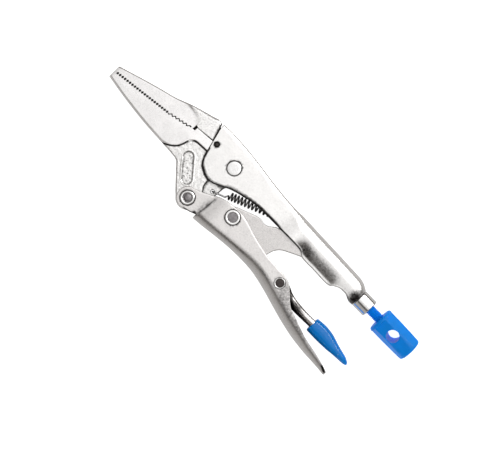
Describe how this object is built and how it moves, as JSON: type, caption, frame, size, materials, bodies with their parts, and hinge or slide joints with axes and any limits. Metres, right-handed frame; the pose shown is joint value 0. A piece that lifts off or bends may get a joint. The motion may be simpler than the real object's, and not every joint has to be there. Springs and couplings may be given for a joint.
{
  "type": "locking pliers",
  "caption": "Long-nose locking pliers with serrated jaws, sheet-steel toggle handles, a release lever with a dipped grip and an adjusting screw with a holed hexagonal knob.",
  "frame": {"origin": "middle of the bottom of the whole tool, lying on its side with the jaws closed", "axes": "+X along the adjusting screw from the jaw tips to the knob, +Y towards the back of the fixed handle, +Z the thickness, up"},
  "size_m": [0.2248, 0.0568, 0.0154],
  "materials": {
    "nickel_sheet": "satin nickel plate on pressed sheet steel",
    "forged_nickel": "satin nickel plate over ground and forged steel",
    "polished_steel": "turned and polished, nickel plated",
    "rivet_steel": "peened and plated",
    "dark_steel": "dull, darkened",
    "link_steel": "satin, tumbled",
    "spring_steel": "drawn wire, semi-gloss",
    "blue_dip": "glossy dipped vinyl",
    "blue_paint": "semi-gloss blue coating"
  },
  "bodies": {
    "fixed_side": {"fixed_handle": "nickel_sheet", "upper_jaw": "forged_nickel", "jaw_lock_pin": "dark_steel", "jaw_pivot_rivet": "rivet_steel", "screw_bush": "polished_steel", "tension_spring": "spring_steel"},
    "moving_jaw": {"lower_jaw": "forged_nickel"},
    "moving_handle": {"lower_handle": "nickel_sheet", "handle_rivet": "rivet_steel", "link_rivet": "rivet_steel", "lever_rivet": "dark_steel"},
    "link": {"toggle_link": "link_steel"},
    "lever": {"release_lever": "link_steel", "lever_grip": "blue_dip"},
    "screw": {"adjusting_screw": "blue_paint"},
    "knob": {"screw_knob": "blue_paint"}
  },
  "joints": [
    {"name": "jaw_hinge", "type": "hinge", "parent": "fixed_side", "child": "moving_jaw", "pos_m": [-0.0279, 0.0153, 0.0077], "axis": [0, 0, 1], "range_deg": [0, 30], "deforming": ["tension_spring"]},
    {"name": "handle_hinge", "type": "hinge", "parent": "moving_jaw", "child": "moving_handle", "pos_m": [-0.0342, -0.0142, 0.0077], "axis": [0, 0, 1], "range_deg": [-76.5, 0]},
    {"name": "link_hinge", "type": "hinge", "parent": "moving_handle", "child": "link", "pos_m": [-0.0092, -0.004, 0.0077], "axis": [0, 0, 1], "range_deg": [0, 75.3]},
    {"name": "lever_hinge", "type": "hinge", "parent": "moving_handle", "child": "lever", "pos_m": [0.0346, -0.0104, 0.0077], "axis": [0, 0, -1], "range_deg": [0, 7]},
    {"name": "screw_travel", "type": "slide", "parent": "fixed_side", "child": "screw", "axis": [1, 0, 0], "range_m": [0, 0.008]},
    {"name": "knob_turn", "type": "hinge", "parent": "screw", "child": "knob", "pos_m": [0.0986, 0.0153, 0.0077], "axis": [1, 0, 0], "range_deg": [0, 2880]}
  ],
  "couplings": [
    {"joint": "handle_hinge", "follows": "jaw_hinge", "ratio": -2.55},
    {"joint": "link_hinge", "follows": "jaw_hinge", "ratio": 2.51},
    {"joint": "knob_turn", "follows": "screw_travel", "rad_per_m": 6283.2}
  ]
}
